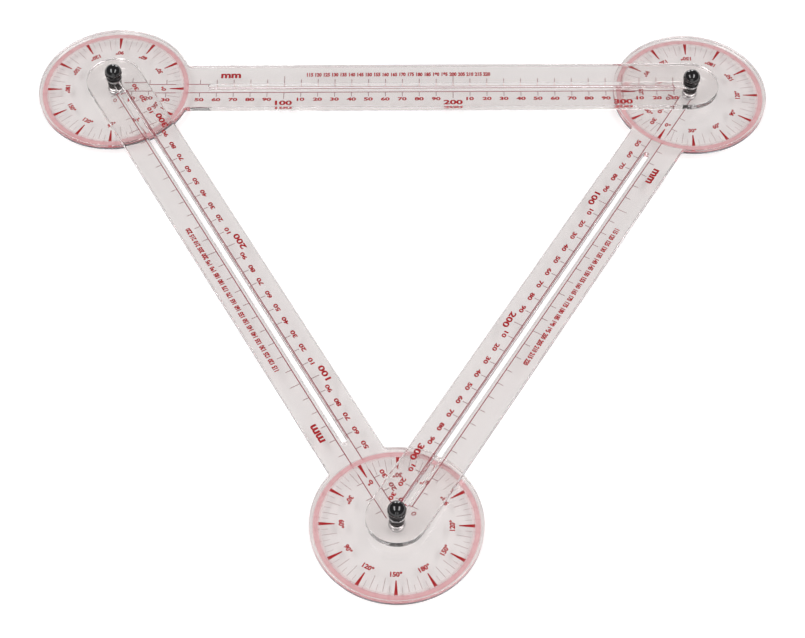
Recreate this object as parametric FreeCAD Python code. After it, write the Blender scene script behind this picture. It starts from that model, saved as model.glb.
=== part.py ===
import FreeCAD, Part
import math
import os

# Articulated triangle: three identical clear rulers, each with a protractor disc at its zero end and a
# long slot along its bar. At each corner a clamp stud passes through the middle of one ruler's disc and
# through the slot of the ruler that lies on top of it, so every bar climbs from its own disc to the
# next one. Millimetres, +Z up, origin at the middle of the footprint on the surface it stands on.

# Rulers
pivot_span = 340.0          # disc centre to the stud at the slot's far end
plate_thickness = 4.0
disc_radius = 45.2
bar_width = 32.6
neck_fillet = 2.5           # where the bar runs into the disc
slot_start = 57.0           # disc centre to the centre of the slot's near end
slot_clearance = 0.3        # each side of the screw
bore_clearance = 0.1        # disc bore around the bush

# Clamp studs
screw_diameter = 3.0
head_diameter = 8.0
head_height = 2.4
hex_key = 2.0               # across the flats of the screw's socket
hex_depth = 1.3
head_washer_diameter = 9.0
head_washer_thickness = 0.5
bush_diameter = 7.0         # the part that turns in the disc
shoulder_diameter = 8.0     # the part that carries the bar
plate_gap = 3.0             # open height between a disc and the bar above it
clamp_washer_diameter = 9.0
clamp_washer_thickness = 0.8
washer_clearance = 0.15     # each washer and bush around the screw
plate_play = 0.2            # height left free above and below a tilted plate
open_corner_play = 1.1      # further height left free below the top ruler at the right corner

# Knobs
knob_diameter = 10.0
knob_height = 9.3           # seat to crown
knob_neck_diameter = 8.6
knob_seat_gap = 0.12        # lets the washer rock under the knob
insert_diameter = 4.6
insert_length = 6.0
thread_clearance = 0.05     # insert around the screw
insert_groove_depth = 0.25
insert_groove_width = 1.2
knob_roof = 1.0             # free depth of the knob's bore above the insert

# Levels and corners
level_step = plate_thickness + plate_gap
tilt = math.degrees(math.asin(level_step / pivot_span))
plan_side = pivot_span * math.cos(math.radians(tilt))
disc_base = head_height + head_washer_thickness + plate_play
disc_middle = disc_base + plate_thickness / 2
plan_half_height = plan_side * math.sqrt(3) / 4
corners = {
    "bottom": FreeCAD.Vector(0, -plan_half_height, 0),
    "left": FreeCAD.Vector(-plan_side / 2, plan_half_height, 0),
    "right": FreeCAD.Vector(plan_side / 2, plan_half_height, 0),
}
UP = FreeCAD.Vector(0, 0, 1)


def point(x, y, z=0.0):
    return FreeCAD.Vector(x, y, z)


def disc(diameter, height, base=0.0):
    return Part.makeCylinder(diameter / 2, height, point(0, 0, base), UP)


def ring(outer, inner, height, base=0.0):
    return disc(outer, height, base).cut(disc(inner, height, base))


def neck_points():
    """Tangent points of the fillet between the disc and the bar's upper edge, and its middle."""
    half = bar_width / 2
    centre_y = half + neck_fillet
    centre_x = math.sqrt((disc_radius + neck_fillet) ** 2 - centre_y ** 2)
    reach = disc_radius / (disc_radius + neck_fillet)
    on_disc = point(centre_x * reach, centre_y * reach)
    on_bar = point(centre_x, half)
    start = math.atan2(on_disc.y - centre_y, on_disc.x - centre_x)
    end = -math.pi / 2
    if start > 0:
        start -= 2 * math.pi
    turn = (start + end) / 2
    middle = point(centre_x + neck_fillet * math.cos(turn), centre_y + neck_fillet * math.sin(turn))
    return on_disc, middle, on_bar


def mirrored(vector):
    return point(vector.x, -vector.y)


def ruler_outline():
    """Closed wire of the disc, its two neck fillets, the bar and the bar's round end."""
    half = bar_width / 2
    on_disc, neck_middle, on_bar = neck_points()
    bar_end = point(pivot_span, half)
    edges = [
        Part.Arc(on_disc, point(-disc_radius, 0), mirrored(on_disc)).toShape(),
        Part.Arc(mirrored(on_disc), mirrored(neck_middle), mirrored(on_bar)).toShape(),
        Part.LineSegment(mirrored(on_bar), mirrored(bar_end)).toShape(),
        Part.Arc(mirrored(bar_end), point(pivot_span + half, 0), bar_end).toShape(),
        Part.LineSegment(bar_end, on_bar).toShape(),
        Part.Arc(on_bar, neck_middle, on_disc).toShape(),
    ]
    return Part.Wire(edges)


def slot_outline(radius):
    near = slot_start
    far = pivot_span
    edges = [
        Part.LineSegment(point(near, radius), point(far, radius)).toShape(),
        Part.Arc(point(far, radius), point(far + radius, 0), point(far, -radius)).toShape(),
        Part.LineSegment(point(far, -radius), point(near, -radius)).toShape(),
        Part.Arc(point(near, -radius), point(near - radius, 0), point(near, radius)).toShape(),
    ]
    return Part.Wire(edges)


def ruler():
    """A flat ruler along +X with its disc on the origin, half its thickness below and half above."""
    thickness = point(0, 0, plate_thickness)
    plate = Part.Face(ruler_outline()).extrude(thickness)
    slot = Part.Face(slot_outline(screw_diameter / 2 + slot_clearance)).extrude(thickness)
    bore = disc(bush_diameter + 2 * bore_clearance, plate_thickness)
    plate = plate.cut(slot).cut(bore)
    plate.translate(point(0, 0, -plate_thickness / 2))
    return plate


def laid(shape, start, end):
    """The ruler laid from one corner to the next, its far end raised by one level."""
    heading = math.degrees(math.atan2(end.y - start.y, end.x - start.x))
    shape.rotate(point(0, 0), point(0, 1), -tilt)
    shape.rotate(point(0, 0), UP, heading)
    shape.translate(start + point(0, 0, disc_middle))
    return shape


def hexagon(across_flats, depth, base=0.0):
    radius = across_flats / math.sqrt(3)
    turns = [math.radians(60 * k) for k in range(7)]
    outline = Part.makePolygon([point(radius * math.cos(a), radius * math.sin(a), base) for a in turns])
    return Part.Face(outline).extrude(point(0, 0, depth))


def screw(shank_top):
    """Low-head screw: its head is the corner's foot and its shank carries the whole stud."""
    head = disc(head_diameter, head_height)
    rim = [edge for edge in head.Edges if edge.BoundBox.ZMax < 0.01]
    head = head.makeFillet(head_height / 4, rim)
    head = head.cut(hexagon(hex_key, hex_depth))
    shank = disc(screw_diameter, shank_top - head_height, head_height)
    tip = [edge for edge in shank.Edges if edge.BoundBox.ZMin > shank_top - 0.01]
    shank = shank.makeChamfer(screw_diameter / 8, tip)
    return head.fuse(shank).removeSplitter()


def bush(shoulder_top):
    """Shouldered bush: the narrow part turns in the disc's bore, the wide part holds the bar up."""
    base = head_height + head_washer_thickness
    shoulder_base = disc_base + plate_thickness + plate_play
    body = disc(bush_diameter, shoulder_base - base, base)
    body = body.fuse(disc(shoulder_diameter, shoulder_top - shoulder_base, shoulder_base))
    body = body.cut(disc(screw_diameter + 2 * washer_clearance, shoulder_top - base, base))
    return body.removeSplitter()


def insert(seat):
    """Brass insert in the knob's bore, with a groove that the moulding grips."""
    shell = ring(insert_diameter, screw_diameter + 2 * thread_clearance, insert_length, seat)
    groove_base = seat + (insert_length - insert_groove_width) / 2
    groove = ring(insert_diameter, insert_diameter - 2 * insert_groove_depth,
                  insert_groove_width, groove_base)
    return shell.cut(groove)


def knob(seat):
    """Ball knob on a short wide neck, moulded round its insert."""
    radius = knob_diameter / 2
    centre = seat + knob_height - radius
    ball = Part.makeSphere(radius, point(0, 0, centre), UP)
    neck = disc(knob_neck_diameter, centre - seat, seat)
    below_seat = disc(2 * knob_diameter, knob_height, seat - knob_height)
    body = ball.fuse(neck).cut(below_seat)
    body = body.cut(disc(insert_diameter, insert_length, seat))
    body = body.cut(disc(screw_diameter, insert_length + knob_roof, seat))
    groove_base = seat + (insert_length - insert_groove_width) / 2
    key = ring(insert_diameter, insert_diameter - 2 * insert_groove_depth,
               insert_groove_width, groove_base)
    return body.fuse(key).removeSplitter()


def clamp_stud(extra_play):
    """The pieces of one corner's stud, bottom to top, standing on the origin."""
    bar_base = disc_base + level_step
    shoulder_top = bar_base - plate_play - extra_play
    washer_base = bar_base + plate_thickness + plate_play
    knob_seat = washer_base + clamp_washer_thickness + knob_seat_gap
    hole = screw_diameter + 2 * washer_clearance
    return {
        "clamp_screw": screw(knob_seat + insert_length),
        "head_washer": ring(head_washer_diameter, hole, head_washer_thickness, head_height),
        "bush": bush(shoulder_top),
        "clamp_washer": ring(clamp_washer_diameter, hole, clamp_washer_thickness, washer_base),
        "knob_insert": insert(knob_seat),
        "knob": knob(knob_seat),
    }


def build():
    nodes = {}
    sides = {
        "left_ruler": ("bottom", "left"),
        "top_ruler": ("left", "right"),
        "right_ruler": ("right", "bottom"),
    }
    for name, (start, end) in sides.items():
        nodes[name] = laid(ruler(), corners[start], corners[end])
    for corner, place in corners.items():
        extra_play = open_corner_play if corner == "right" else 0.0
        for piece, shape in clamp_stud(extra_play).items():
            shape.translate(place)
            nodes[corner + "_" + piece] = shape
    return nodes


os.makedirs("parts", exist_ok=True)
for node, shape in build().items():
    shape.exportStep("parts/" + node + ".step")
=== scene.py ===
import math

import bmesh
import bpy
from mathutils import Matrix, Vector


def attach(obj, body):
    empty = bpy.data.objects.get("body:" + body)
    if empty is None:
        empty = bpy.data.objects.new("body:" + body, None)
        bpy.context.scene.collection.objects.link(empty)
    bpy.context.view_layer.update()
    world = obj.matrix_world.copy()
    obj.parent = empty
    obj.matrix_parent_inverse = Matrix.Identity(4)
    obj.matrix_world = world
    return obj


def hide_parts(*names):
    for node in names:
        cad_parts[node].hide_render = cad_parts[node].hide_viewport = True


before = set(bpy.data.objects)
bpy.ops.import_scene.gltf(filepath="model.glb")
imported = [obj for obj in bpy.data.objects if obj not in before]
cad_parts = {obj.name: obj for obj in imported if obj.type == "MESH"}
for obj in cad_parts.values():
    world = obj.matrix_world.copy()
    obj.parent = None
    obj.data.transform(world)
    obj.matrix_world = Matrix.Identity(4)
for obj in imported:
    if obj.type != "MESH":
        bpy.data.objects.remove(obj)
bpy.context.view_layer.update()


# ---------------------------------------------------------------- rulers
# Three identical plates of clear acrylic, cut as a disc, a slotted bar and a round end, with broken
# edges and a rougher lower rim darkened by painted shade. Each climbs from its own disc to lie over
# the next ruler's disc.
disc_radius = 0.0452
bar_half = 0.0163
ruler_span = 0.340
neck_fillet = 0.0025
slot_half = 0.0018
slot_start = 0.057
bore_radius = 0.0036
plate_thickness = 0.004
broken_edge = 0.0003
edge_facets = (0.29, 0.71), (0.71, 0.29)    # shares of the broken edge, inwards and upwards
level_rise = 0.007
disc_height = 0.0051                        # middle of the disc's thickness above the feet
disc_steps, neck_steps, end_steps, slot_steps, bore_steps = 240, 14, 72, 20, 64
merge_distance = 1e-6


def sweep_arc(bm, centre, first, degrees, steps):
    """Turns one point round a centre and gives back both ends of the arc it leaves."""
    start = bm.verts.new((*first, 0))
    swept = bmesh.ops.spin(bm, geom=[start], cent=(*centre, 0), axis=(0, 0, 1),
                           angle=math.radians(degrees), steps=steps)
    return start, swept["geom_last"][0]


def cut_outline(bm, arcs):
    """A closed outline from arcs, each joined to the one before by a straight cut."""
    ends = [sweep_arc(bm, *arc) for arc in arcs]
    for k, (start, end) in enumerate(ends):
        bm.edges.new((ends[k - 1][1], start))


def cut_ruler(bm):
    """The ruler's flat face: disc, necks, bar and round end, with its slot and its bore."""
    neck_y = bar_half + neck_fillet
    neck_x = math.sqrt((disc_radius + neck_fillet) ** 2 - neck_y ** 2)
    turn = math.atan2(neck_y, neck_x)
    on_disc = Vector((math.cos(turn), math.sin(turn))) * disc_radius
    neck = math.degrees(turn)
    cut_outline(bm, (
        ((0, 0), on_disc, 360 - 2 * neck, disc_steps),
        ((neck_x, -neck_y), (on_disc.x, -on_disc.y), neck - 90, neck_steps),
        ((ruler_span, 0), (ruler_span, -bar_half), 180, end_steps),
        ((neck_x, neck_y), (neck_x, bar_half), neck - 90, neck_steps),
    ))
    cut_outline(bm, (
        ((ruler_span, 0), (ruler_span, -slot_half), 180, slot_steps),
        ((slot_start, 0), (slot_start, slot_half), 180, slot_steps),
    ))
    cut_outline(bm, (((0, 0), (bore_radius, 0), 360, bore_steps),))
    bmesh.ops.remove_doubles(bm, verts=bm.verts[:], dist=merge_distance)
    bmesh.ops.triangle_fill(bm, use_beauty=True, edges=bm.edges[:], normal=(0, 0, 1))


def thicken_ruler(bm):
    """Breaks the upper edge, drops the walls to the plate's middle and mirrors the lower half."""
    wall = plate_thickness / 2 - broken_edge
    bmesh.ops.translate(bm, vec=(0, 0, wall), verts=bm.verts[:])
    face = bm.faces[:]
    for inset, lift in edge_facets:
        bmesh.ops.inset_region(bm, faces=face, thickness=inset * broken_edge, use_boundary=True,
                               use_even_offset=True)
        raised = list({vert for piece in face for vert in piece.verts})
        bmesh.ops.translate(bm, vec=(0, 0, lift * broken_edge), verts=raised)
    rim = [edge for edge in bm.edges if edge.is_boundary]
    dropped = bmesh.ops.extrude_edge_only(bm, edges=rim)["geom"]
    dropped = [item for item in dropped if isinstance(item, bmesh.types.BMVert)]
    bmesh.ops.translate(bm, vec=(0, 0, -wall), verts=dropped)
    whole = bm.verts[:] + bm.edges[:] + bm.faces[:]
    bmesh.ops.mirror(bm, geom=whole, axis="Z", merge_dist=merge_distance)
    bmesh.ops.recalc_face_normals(bm, faces=bm.faces[:])


def made_object(bm, name, matrix, materials, sharp_degrees=None):
    """Turns a finished bmesh into an object whose place is in its mesh."""
    bm.transform(matrix)
    mesh = bpy.data.meshes.new(name)
    if sharp_degrees is not None:
        for face in bm.faces:
            face.smooth = True
    bm.to_mesh(mesh)
    bm.free()
    if sharp_degrees is not None:
        mesh.set_sharp_from_angle(angle=math.radians(sharp_degrees))
    for material in materials:
        mesh.materials.append(material)
    made = bpy.data.objects.new(name, mesh)
    bpy.context.collection.objects.link(made)
    return made


def group_socket(group, name, direction, kind, value=None):
    item = group.interface.new_socket(name=name, in_out=direction, socket_type=kind)
    if value is not None:
        item.default_value = value


def make_mottle_group():
    """Soft noise between two values, which keeps a finish from looking flat."""
    group = bpy.data.node_groups.new("soft_mottle", "ShaderNodeTree")
    group_socket(group, "Scale", "INPUT", "NodeSocketFloat", 60.0)
    group_socket(group, "Low", "INPUT", "NodeSocketFloat", 0.0)
    group_socket(group, "High", "INPUT", "NodeSocketFloat", 1.0)
    group_socket(group, "Value", "OUTPUT", "NodeSocketFloat")
    nodes, links = group.nodes, group.links
    start = nodes.new("NodeGroupInput")
    end = nodes.new("NodeGroupOutput")
    place = nodes.new("ShaderNodeTexCoord")
    noise = nodes.new("ShaderNodeTexNoise")
    noise.inputs["Detail"].default_value = 4.0
    spread = nodes.new("ShaderNodeMapRange")
    spread.inputs["From Min"].default_value = 0.3
    spread.inputs["From Max"].default_value = 0.7
    links.new(place.outputs["Object"], noise.inputs["Vector"])
    links.new(start.outputs["Scale"], noise.inputs["Scale"])
    links.new(noise.outputs["Fac"], spread.inputs["Value"])
    links.new(start.outputs["Low"], spread.inputs["To Min"])
    links.new(start.outputs["High"], spread.inputs["To Max"])
    links.new(spread.outputs["Result"], end.inputs["Value"])
    return group


soft_mottle = make_mottle_group()


def add_mottle(tree, scale, low=0.0, high=1.0):
    node = tree.nodes.new("ShaderNodeGroup")
    node.node_tree = soft_mottle
    node.inputs["Scale"].default_value = scale
    node.inputs["Low"].default_value = low
    node.inputs["High"].default_value = high
    return node.outputs["Value"]


def new_material(name):
    material = bpy.data.materials.new(name)
    material.use_nodes = True
    tree = material.node_tree
    return material, tree, tree.nodes["Principled BSDF"]


def mixed_colour(tree, factor, first, second):
    mix = tree.nodes.new("ShaderNodeMix")
    mix.data_type = "RGBA"
    mix.inputs["A"].default_value = (*first, 1.0)
    mix.inputs["B"].default_value = (*second, 1.0)
    tree.links.new(factor, mix.inputs["Factor"])
    return mix.outputs["Result"]


def joined(tree, operation, first, second):
    """One Math node: the second input is another output, or a plain number."""
    node = tree.nodes.new("ShaderNodeMath")
    node.operation = operation
    tree.links.new(first, node.inputs[0])
    if isinstance(second, float):
        node.inputs[1].default_value = second
    else:
        tree.links.new(second, node.inputs[1])
    return node.outputs["Value"]


# Light that only passes on its way to something else goes straight through the acrylic, and so does
# what has bounced about inside it. A second plate, seen through the first, tints less.
# The first plate's tint is partly the acrylic's own and partly painted shade for the plates' shadow on
# the table.
first_plate_tints_and_shade = (0.700, 0.662, 0.654), (0.726, 0.690, 0.680)
lower_tints = (0.960, 0.945, 0.940), (0.980, 0.965, 0.960)
# painted shade: a dark tint on the outside of the disc's lower rim, where the edge's shadow falls
rim_shade_tint = (0.10, 0.14, 0.165)
straight_through = (0.985, 0.98, 0.98)
second_plate = 1.5              # beyond this many surfaces a ray is past the first plate
early_bounces = 2.5             # beyond this many bounces a share of the light goes straight on,
early_share = 0.7
late_bounces = 3.5              # and beyond this many all of it does,
deepest = 8.5                   # as it does beyond this many turns of any kind


def clear_acrylic(name, haze, outside_shade=None):
    """Clear acrylic. An outside shade, where given, is painted shade that darkens its faces seen from
    outside.
    """
    material, tree, shader = new_material(name)
    shader.inputs["Transmission Weight"].default_value = 1.0
    shader.inputs["IOR"].default_value = 1.49
    tree.links.new(add_mottle(tree, scale=180.0, low=haze, high=haze + 0.02),
                   shader.inputs["Roughness"])
    path = tree.nodes.new("ShaderNodeLightPath").outputs
    cloud = add_mottle(tree, scale=14.0)
    tint = tree.nodes.new("ShaderNodeMix")
    tint.data_type = "RGBA"
    tree.links.new(joined(tree, "GREATER_THAN", path["Transmission Depth"], second_plate),
                   tint.inputs["Factor"])
    # painted shade: the first plate's tint is darkened for the shadow the plates cast on the table
    tree.links.new(mixed_colour(tree, cloud, *first_plate_tints_and_shade), tint.inputs["A"])
    tree.links.new(mixed_colour(tree, cloud, *lower_tints), tint.inputs["B"])
    colour = tint.outputs["Result"]
    # The outside shade is painted shade. It takes the tint's place on faces seen from outside.
    if outside_shade is not None:
        side = tree.nodes.new("ShaderNodeMix")
        side.data_type = "RGBA"
        side.inputs["A"].default_value = (*outside_shade, 1.0)
        geometry = tree.nodes.new("ShaderNodeNewGeometry")
        tree.links.new(geometry.outputs["Backfacing"], side.inputs["Factor"])
        tree.links.new(colour, side.inputs["B"])
        colour = side.outputs["Result"]
    tree.links.new(colour, shader.inputs["Base Color"])
    early = joined(tree, "GREATER_THAN", path["Glossy Depth"], early_bounces)
    early = joined(tree, "MULTIPLY", early, early_share)
    late = joined(tree, "GREATER_THAN", path["Glossy Depth"], late_bounces)
    deep = joined(tree, "GREATER_THAN", path["Ray Depth"], deepest)
    passes = joined(tree, "MAXIMUM", path["Is Shadow Ray"], path["Is Diffuse Ray"])
    for share in (early, late, deep):
        passes = joined(tree, "MAXIMUM", passes, share)
    clear = tree.nodes.new("ShaderNodeBsdfTransparent")
    clear.inputs["Color"].default_value = (*straight_through, 1.0)
    glass_or_clear = tree.nodes.new("ShaderNodeMixShader")
    tree.links.new(passes, glass_or_clear.inputs["Fac"])
    tree.links.new(shader.outputs["BSDF"], glass_or_clear.inputs[1])
    tree.links.new(clear.outputs["BSDF"], glass_or_clear.inputs[2])
    surface = tree.nodes["Material Output"].inputs["Surface"]
    tree.links.new(glass_or_clear.outputs["Shader"], surface)
    return material


polished_acrylic = clear_acrylic("polished_acrylic", haze=0.0)
# The rim's acrylic is rougher and carries painted shade on its faces seen from outside.
shaded_rim_acrylic = clear_acrylic("shaded_rim_acrylic", haze=0.10, outside_shade=rim_shade_tint)


flat_normal = 0.9               # a face whose normal stands up more than this lies flat


def dull_rim(bm):
    """Gives the lower half of the disc's rim the second acrylic: rougher, with painted shade outside.
    """
    for face in bm.faces:
        middle = face.calc_center_median()
        on_rim = abs(middle.xy.length - disc_radius) < broken_edge
        if on_rim and middle.z < 0 and abs(face.normal.z) < flat_normal:
            face.material_index = 1


climb = math.asin(level_rise / ruler_span)
side = ruler_span * math.cos(climb)
half_height = side * math.sqrt(3) / 4
corner_places = {                # one stud at each
    "bottom": Vector((0, -half_height, 0)),
    "left": Vector((-side / 2, half_height, 0)),
    "right": Vector((side / 2, half_height, 0)),
}
ruler_layout = {                 # corner of its disc, heading of its bar and the body it rides on
    "left": ("bottom", 120.0, "left_arm"),
    "top": ("left", 0.0, "top_arm"),
    "right": ("right", -120.0, "right_arm"),
}
ruler_matrix = {}
for name, (corner, heading, body) in ruler_layout.items():
    place = Matrix.Translation(corner_places[corner] + Vector((0, 0, disc_height)))
    turn = Matrix.Rotation(math.radians(heading), 4, "Z")
    ruler_matrix[name] = place @ turn @ Matrix.Rotation(-climb, 4, "Y")
    bm = bmesh.new()
    cut_ruler(bm)
    thicken_ruler(bm)
    dull_rim(bm)
    ruler = made_object(bm, name + "_ruler_plate", ruler_matrix[name],
                        [polished_acrylic, shaded_rim_acrylic], sharp_degrees=20)
    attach(ruler, body)
    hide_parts(name + "_ruler")


# ---------------------------------------------------------------- scales and protractors
# Red screen print just inside the underside of each plate: a millimetre scale with two long lines along
# the slot, and a protractor round the disc. Plain numbers only.
print_depth = 0.00004
bold, fine, line = range(3)         # the inks, in the order of their material slots


def print_stroke(bm, start, end, width, start_width=None, ink=bold):
    """A straight stroke, or a wedge where its start has a width of its own."""
    a, b = Vector(start), Vector(end)
    across = Vector((-(b - a).y, (b - a).x)).normalized() / 2
    wide = width if start_width is None else start_width
    corners = (a + across * wide, a - across * wide, b - across * width, b + across * width)
    bm.faces.new([bm.verts.new((p.x, p.y, 0)) for p in corners]).material_index = ink


label_shapes = {}


def label_shape(text, weight):
    """The flat mesh of a label, made once from text that is thickened by weight."""
    key = (text, weight)
    if key not in label_shapes:
        curve = bpy.data.curves.new("label", "FONT")
        curve.body = text
        curve.align_x = "CENTER"
        curve.align_y = "CENTER"
        curve.offset = weight
        curve.resolution_u = 3
        holder = bpy.data.objects.new("label", curve)
        bpy.context.collection.objects.link(holder)
        seen = holder.evaluated_get(bpy.context.evaluated_depsgraph_get())
        label_shapes[key] = bpy.data.meshes.new_from_object(seen)
        bpy.data.objects.remove(holder)
        bpy.data.curves.remove(curve)
    return label_shapes[key]


def print_label(bm, text, centre, height, stretch, weight, angle=0):
    before = len(bm.verts)
    bm.from_mesh(label_shape(text, weight))
    bm.verts.ensure_lookup_table()
    made = bm.verts[before:]
    xs = [vert.co.x for vert in made]
    ys = [vert.co.y for vert in made]
    size = height / (max(ys) - min(ys))
    middle = Vector((-(min(xs) + max(xs)) / 2, -(min(ys) + max(ys)) / 2, 0))
    bmesh.ops.translate(bm, vec=middle, verts=made)
    bmesh.ops.scale(bm, vec=(size * stretch, size, 1), verts=made)
    bmesh.ops.rotate(bm, matrix=Matrix.Rotation(math.radians(angle), 3, "Z"), verts=made)
    bmesh.ops.translate(bm, vec=(*centre, 0), verts=made)


# Distances along the ruler count from the disc's middle, and across it from the slot's middle.
line_offset = 0.00328
line_width = 0.00050
line_start = 0.005
line_gap = 0.0358, 0.0420           # left free where the protractor's ring crosses
line_end = 0.3305
end_stroke = 0.3303
tick_pitch = 0.010
tick_count = 33
tick_width = 0.00038
long_ticks = 0.0062, 0.0050         # every hundred, on the plain and on the numbered side
short_ticks = 0.0036, 0.0034
tick_gap = 0.036, 0.042
tens_gap = 0.035, 0.045
number_row = range(115, 225, 5)     # millimetres, printed along the outer edge

# How far across the ruler each kind of label stands, then its height, stretch and weight.
hundreds_label = -0.0114, (0.0036, 1.64, 0.040)
tens_label = -0.0087, (0.0026, 1.62, 0.045)
zero_label = -0.0104, (0.0028, 1.20, 0.020)
unit_label = 0.0098, (0.0036, 1.20, 0.045)
row_label = 0.0104, (0.0030, 0.76, 0.060)
zero_place = 0.0006
unit_place = 0.068


def label_on_bar(bm, text, x, kind):
    across, shape = kind
    print_label(bm, text, (x, across), *shape)


def print_scale(bm):
    for y in (line_offset, -line_offset):
        for start, end in ((line_start, line_gap[0]), (line_gap[1], line_end)):
            print_stroke(bm, (start, y), (end, y), line_width, ink=line)
    print_stroke(bm, (end_stroke, -line_offset), (end_stroke, line_offset), line_width, ink=line)
    for step in range(1, tick_count + 1):
        x = step * tick_pitch
        hundred = step % 10 == 0
        plain, numbered = long_ticks if hundred else short_ticks
        if not tick_gap[0] < x < tick_gap[1]:
            print_stroke(bm, (x, line_offset), (x, line_offset + plain), tick_width, ink=fine)
            print_stroke(bm, (x, -line_offset), (x, -line_offset - numbered), tick_width, ink=fine)
        if hundred:
            label_on_bar(bm, str(step * 10), x, hundreds_label)
        elif not tens_gap[0] <= x <= tens_gap[1]:
            label_on_bar(bm, str(step * 10 % 100), x, tens_label)
    label_on_bar(bm, "0", zero_place, zero_label)
    label_on_bar(bm, "mm", unit_place, unit_label)
    for value in number_row:
        label_on_bar(bm, str(value), value / 1000, row_label)


# Radii of the protractor's strokes, from their inner to their outer ends, and their widths.
wedge = 0.0320, 0.0404
wedge_widths = 0.0006, 0.0020
ten_stroke = 0.0312, 0.0390
ten_width = 0.00020
five_stroke = 0.0355, 0.0390
five_width = 0.00014
outer_stroke = 0.0398, 0.0432
outer_width = 0.00022
degree_radius = 0.0285
degree_label = 0.0031, 0.98, 0.050


def print_protractor(bm):
    for angle in range(0, 360, 5):
        out = Vector((math.cos(math.radians(angle)), math.sin(math.radians(angle))))
        if angle % 30 == 0:
            print_stroke(bm, out * wedge[0], out * wedge[1], wedge_widths[1], wedge_widths[0])
            text = str(min(angle, 360 - angle)) + "°"
            print_label(bm, text, out * degree_radius, *degree_label, angle + 90)
        elif angle % 10 == 0:
            print_stroke(bm, out * ten_stroke[0], out * ten_stroke[1], ten_width, ink=fine)
        else:
            print_stroke(bm, out * five_stroke[0], out * five_stroke[1], five_width, ink=fine)
            print_stroke(bm, out * outer_stroke[0], out * outer_stroke[1], outer_width, ink=fine)


def ink_material(name, thin, thick):
    """Matt ink that covers a little unevenly, with its tree and its shader."""
    material, tree, shader = new_material(name)
    tree.links.new(mixed_colour(tree, add_mottle(tree, scale=900.0), thin, thick),
                   shader.inputs["Base Color"])
    tree.links.new(add_mottle(tree, scale=300.0, low=0.5, high=0.6), shader.inputs["Roughness"])
    shader.inputs["Specular IOR Level"].default_value = 0.1
    return material, tree, shader


bold_ink = ink_material("ink_bold", (0.54, 0.028, 0.034), (0.43, 0.016, 0.023))[0]
fine_ink = ink_material("ink_fine", (0.35, 0.165, 0.175), (0.30, 0.125, 0.135))[0]
line_ink = ink_material("ink_line", (0.40, 0.060, 0.085), (0.32, 0.040, 0.060))[0]

for name, (_, _, body) in ruler_layout.items():
    bm = bmesh.new()
    print_scale(bm)
    print_protractor(bm)
    under = ruler_matrix[name] @ Matrix.Translation((0, 0, print_depth - plate_thickness / 2))
    printed = made_object(bm, name + "_scale_print", under, [bold_ink, fine_ink, line_ink])
    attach(printed, body)


# ---------------------------------------------------------------- protractor rings
# A pale red band printed round each protractor. Its ink thins out towards both edges, so its cover is
# held per point and read by the ink.
ring_depth = 0.00007
ring_cover = {                      # radius: how much of the ink covers there
    0.0388: 0.0,
    0.0398: 0.2,
    0.0404: 0.55,
    0.0411: 0.9,
    0.0418: 1.0,
    0.0429: 0.9,
    0.0434: 0.5,
    0.0439: 0.0,
}
ring_steps = 180

ring_ink, tree, shader = ink_material("ink_ring", (0.88, 0.33, 0.36), (0.84, 0.28, 0.31))
cover = tree.nodes.new("ShaderNodeAttribute")
cover.attribute_name = "cover"
thickness = add_mottle(tree, scale=45.0, low=0.55, high=0.66)
tree.links.new(joined(tree, "MULTIPLY", cover.outputs["Fac"], thickness), shader.inputs["Alpha"])

for name, (_, _, body) in ruler_layout.items():
    bm = bmesh.new()
    radii = [bm.verts.new((radius, 0, 0)) for radius in ring_cover]
    spokes = [bm.edges.new(pair) for pair in zip(radii, radii[1:])]
    bmesh.ops.spin(bm, geom=radii + spokes, cent=(0, 0, 0), axis=(0, 0, 1), angle=2 * math.pi,
                   steps=ring_steps, use_merge=True)
    layer = bm.verts.layers.float.new("cover")
    for vert in bm.verts:
        nearest = min(ring_cover, key=lambda radius: abs(radius - vert.co.length))
        vert[layer] = ring_cover[nearest]
    under = ruler_matrix[name] @ Matrix.Translation((0, 0, ring_depth - plate_thickness / 2))
    ring = made_object(bm, name + "_ring_print", under, [ring_ink])
    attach(ring, body)


# ---------------------------------------------------------------- clamp studs
# Zinc-plated screws and washers, a black shouldered bush and a brass insert at each corner. They keep
# the shapes of the frame and get their finish here.
def make_scratch_group():
    """Fine drawn-out noise as a height, for handling and turning marks."""
    group = bpy.data.node_groups.new("fine_scratches", "ShaderNodeTree")
    group_socket(group, "Scale", "INPUT", "NodeSocketFloat", 400.0)
    group_socket(group, "Stretch", "INPUT", "NodeSocketFloat", 12.0)
    group_socket(group, "Height", "OUTPUT", "NodeSocketFloat")
    nodes, links = group.nodes, group.links
    start = nodes.new("NodeGroupInput")
    end = nodes.new("NodeGroupOutput")
    place = nodes.new("ShaderNodeTexCoord")
    axes = nodes.new("ShaderNodeCombineXYZ")
    axes.inputs["Y"].default_value = 1.0
    axes.inputs["Z"].default_value = 1.0
    squeeze = nodes.new("ShaderNodeVectorMath")
    squeeze.operation = "MULTIPLY"
    noise = nodes.new("ShaderNodeTexNoise")
    noise.inputs["Detail"].default_value = 2.0
    links.new(start.outputs["Stretch"], axes.inputs["X"])
    links.new(place.outputs["Object"], squeeze.inputs[0])
    links.new(axes.outputs["Vector"], squeeze.inputs[1])
    links.new(squeeze.outputs["Vector"], noise.inputs["Vector"])
    links.new(start.outputs["Scale"], noise.inputs["Scale"])
    links.new(noise.outputs["Fac"], end.inputs["Height"])
    return group


fine_scratches = make_scratch_group()


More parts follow.
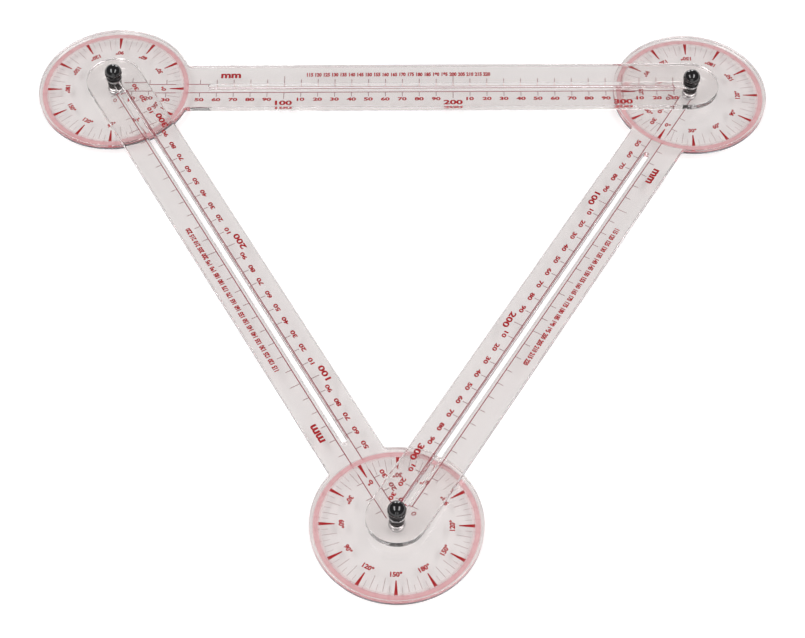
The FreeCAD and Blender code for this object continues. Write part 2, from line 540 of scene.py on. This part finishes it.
def add_scratches(tree, shader, scale, stretch, strength, distance):
    node = tree.nodes.new("ShaderNodeGroup")
    node.node_tree = fine_scratches
    node.inputs["Scale"].default_value = scale
    node.inputs["Stretch"].default_value = stretch
    bump = tree.nodes.new("ShaderNodeBump")
    bump.inputs["Strength"].default_value = strength
    bump.inputs["Distance"].default_value = distance
    tree.links.new(node.outputs["Height"], bump.inputs["Height"])
    tree.links.new(bump.outputs["Normal"], shader.inputs["Normal"])


def metal_finish(name, dark, light, smooth):
    material, tree, shader = new_material(name)
    shader.inputs["Metallic"].default_value = 1.0
    tree.links.new(mixed_colour(tree, add_mottle(tree, scale=500.0), dark, light),
                   shader.inputs["Base Color"])
    tree.links.new(add_mottle(tree, scale=900.0, low=smooth, high=smooth + 0.12),
                   shader.inputs["Roughness"])
    add_scratches(tree, shader, scale=900.0, stretch=8.0, strength=0.25, distance=0.00005)
    return material


def black_plastic(name, dark, light, smooth, rough, specular):
    material, tree, shader = new_material(name)
    tree.links.new(mixed_colour(tree, add_mottle(tree, scale=400.0), dark, light),
                   shader.inputs["Base Color"])
    tree.links.new(add_mottle(tree, scale=500.0, low=smooth, high=rough),
                   shader.inputs["Roughness"])
    shader.inputs["Specular IOR Level"].default_value = specular
    add_scratches(tree, shader, scale=700.0, stretch=3.0, strength=0.03, distance=0.00003)
    return material


zinc_steel = metal_finish("zinc_steel", (0.50, 0.50, 0.51), (0.62, 0.62, 0.63), smooth=0.24)
turned_brass = metal_finish("turned_brass", (0.70, 0.50, 0.22), (0.80, 0.60, 0.30), smooth=0.22)
bush_black = black_plastic("bush_black", (0.022, 0.018, 0.018), (0.034, 0.028, 0.027),
                           smooth=0.30, rough=0.42, specular=0.4)
stud_finish = {
    "clamp_screw": zinc_steel,
    "head_washer": zinc_steel,
    "clamp_washer": zinc_steel,
    "bush": bush_black,
    "knob_insert": turned_brass,
}
for corner in corner_places:
    for piece, finish in stud_finish.items():
        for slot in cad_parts[corner + "_" + piece].material_slots:
            slot.material = finish


# ---------------------------------------------------------------- knobs
# Black ball knobs on short wide necks, moulded round their inserts. The crown is polished and the lower
# half and the neck are left satin.
knob_radius = 0.0050
knob_height = 0.0093            # seat to crown
knob_seat = 0.01522             # above the feet
knob_neck = 0.0043
knob_neck_edge = 0.0002
insert_radius = 0.0023
insert_length = 0.0060
thread_radius = 0.0015
bore_roof = 0.0070
knob_arc_steps, knob_turn_steps = 30, 72
pole_merge = 1e-7               # joins what the turn leaves doubled on the axis
knob_black = (0.006, 0.005, 0.006), (0.010, 0.009, 0.010)


def knob_profile(bm, middle):
    """Half a section of the knob: up the bore, out along the seat, up the neck and over the ball."""
    bore = ((0, bore_roof), (thread_radius, bore_roof), (thread_radius, insert_length),
            (insert_radius, insert_length), (insert_radius, 0), (knob_neck - knob_neck_edge, 0),
            (knob_neck, knob_neck_edge))
    drop = math.sqrt(knob_radius ** 2 - knob_neck ** 2)
    points = [bm.verts.new((radius, 0, knob_seat + height)) for radius, height in bore]
    points.append(bm.verts.new((knob_neck, 0, middle - drop)))
    for pair in zip(points, points[1:]):
        bm.edges.new(pair)
    turn = math.pi / 2 + math.asin(drop / knob_radius)
    bmesh.ops.spin(bm, geom=[points[-1]], cent=(0, 0, middle), axis=(0, -1, 0), angle=turn,
                   steps=knob_arc_steps)


def ball_knob(bm):
    middle = knob_seat + knob_height - knob_radius
    knob_profile(bm, middle)
    bmesh.ops.spin(bm, geom=bm.verts[:] + bm.edges[:], cent=(0, 0, 0), axis=(0, 0, 1),
                   angle=2 * math.pi, steps=knob_turn_steps, use_merge=True)
    bmesh.ops.remove_doubles(bm, verts=bm.verts[:], dist=pole_merge)
    bmesh.ops.recalc_face_normals(bm, faces=bm.faces[:])
    for face in bm.faces:
        face.material_index = 1 if face.calc_center_median().z < middle else 0


knob_polished = black_plastic("knob_polished", *knob_black, smooth=0.10, rough=0.16, specular=0.8)
knob_satin = black_plastic("knob_satin", *knob_black, smooth=0.40, rough=0.55, specular=0.2)
for corner, place in corner_places.items():
    bm = bmesh.new()
    ball_knob(bm)
    knob = made_object(bm, corner + "_ball_knob", Matrix.Translation(place),
                       [knob_polished, knob_satin], sharp_degrees=35)
    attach(knob, corner + "_knob_turn")
    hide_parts(corner + "_knob")


# ---------------------------------------------------------------- table and light
# A white table top that glows a little to the camera and through the acrylic, more so far from the
# lamps, in a dim room. It lies just below the feet, because the right corner sinks as the rulers fold.
table_drop = 0.0034
table_half = 3.0
table_whites = (0.80, 0.80, 0.80), (0.82, 0.82, 0.82)
near_glow, far_glow = 0.38, 0.95
glow_start, glow_end = 0.30, 1.80       # metres from the middle of the table
room_light = 0.17
table_white, tree, shader = new_material("table_white")
tree.links.new(mixed_colour(tree, add_mottle(tree, scale=3.0), *table_whites),
               shader.inputs["Base Color"])
shader.inputs["Roughness"].default_value = 0.9
shader.inputs["Specular IOR Level"].default_value = 0.1
shader.inputs["Emission Color"].default_value = (1.0, 1.0, 1.0, 1.0)
path = tree.nodes.new("ShaderNodeLightPath").outputs
seen = joined(tree, "MAXIMUM", path["Is Camera Ray"], path["Is Glossy Ray"])
seen = joined(tree, "MAXIMUM", seen, path["Is Transmission Ray"])
place = tree.nodes.new("ShaderNodeTexCoord")
distance = tree.nodes.new("ShaderNodeVectorMath")
distance.operation = "LENGTH"
tree.links.new(place.outputs["Object"], distance.inputs[0])
glow = tree.nodes.new("ShaderNodeMapRange")
glow.inputs["From Min"].default_value = glow_start
glow.inputs["From Max"].default_value = glow_end
glow.inputs["To Min"].default_value = near_glow
glow.inputs["To Max"].default_value = far_glow
tree.links.new(distance.outputs["Value"], glow.inputs["Value"])
strength = joined(tree, "MULTIPLY", seen, glow.outputs["Result"])
tree.links.new(strength, shader.inputs["Emission Strength"])
bm = bmesh.new()
bmesh.ops.create_grid(bm, x_segments=1, y_segments=1, size=table_half)
table = made_object(bm, "white_table", Matrix.Translation((0, 0, -table_drop)), [table_white])

room = bpy.data.worlds.new("white_room")
bpy.context.scene.world = room
room.use_nodes = True
tree = room.node_tree
background = tree.nodes["Background"]
background.inputs["Color"].default_value = (1.0, 1.0, 1.0, 1.0)
path = tree.nodes.new("ShaderNodeLightPath").outputs
strength = tree.nodes.new("ShaderNodeMapRange")
strength.inputs["To Min"].default_value = room_light
strength.inputs["To Max"].default_value = 1.0
tree.links.new(joined(tree, "MAXIMUM", path["Is Camera Ray"], path["Is Transmission Ray"]),
               strength.inputs["Value"])
tree.links.new(strength.outputs["Result"], background.inputs["Strength"])

# Each pair stands to the right and left: its place, pitch in degrees, width and length, and watts.
lamp_pairs = (
    ("overhead_lamp", (0.66, -0.32, 1.15), 0, (0.42, 1.18), 9.3),
    ("back_lamp", (0.30, 1.50, 0.33), -82, (0.30, 0.54), 3.8),
    ("front_lamp", (0.40, -2.00, 0.70), 75, (0.28, 1.20), 2.4),
)
for name, (x, y, z), pitch, (width, length), watts in lamp_pairs:
    for sign in (-1, 1):
        light = bpy.data.lights.new(name, "AREA")
        light.shape = "RECTANGLE"
        light.size = width
        light.size_y = length
        light.energy = watts
        lamp = bpy.data.objects.new(name, light)
        bpy.context.collection.objects.link(lamp)
        lamp.location = (sign * x, y, z)
        lamp.rotation_euler = (math.radians(pitch), 0, 0)


# ---------------------------------------------------------------- camera
# A long lens in front of the bottom corner, looking down on the whole triangle from 1.2 metres away,
# so the far side is only a little smaller than the near one.
camera_data = bpy.data.cameras.new("camera")
camera_data.sensor_width = 36.0
camera_data.lens = 96.788
camera_data.clip_end = 20.0
camera = bpy.data.objects.new("camera", camera_data)
bpy.context.collection.objects.link(camera)
camera.location = (0.005214, -0.702288, 0.976292)
camera.rotation_euler = (0.613837, -0.003108, 0.009565)
bpy.context.scene.camera = camera
bpy.context.scene.view_settings.view_transform = "Standard"
